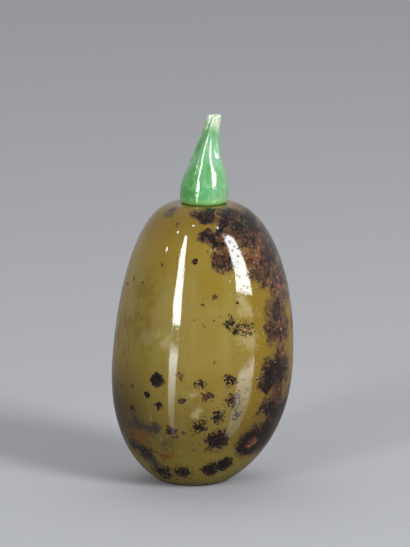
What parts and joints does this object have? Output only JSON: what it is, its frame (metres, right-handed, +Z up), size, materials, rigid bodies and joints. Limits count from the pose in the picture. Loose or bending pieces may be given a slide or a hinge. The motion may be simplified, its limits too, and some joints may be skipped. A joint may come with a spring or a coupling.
{
  "type": "snuff bottle",
  "caption": "Pebble-shaped hollow hardstone snuff bottle with a flat mouth and foot, closed by a carved lift-off stopper shaped as a leaning stalk.",
  "frame": {"origin": "on the plane the foot stands on, under the middle of the bottle's box", "axes": "+Z up through the mouth and the stopper; -Y towards the side shown to the viewer; +X towards the side the stopper leans to"},
  "size_m": [0.0366, 0.0314, 0.0747],
  "materials": {
    "agate": "honey-coloured translucent agate with dark moss inclusions, glossy polish",
    "jadeite": "apple-green translucent jadeite with emerald patches, glossy polish"
  },
  "bodies": {
    "root": {"bottle": "agate", "stopper": "jadeite"}
  },
  "joints": []
}
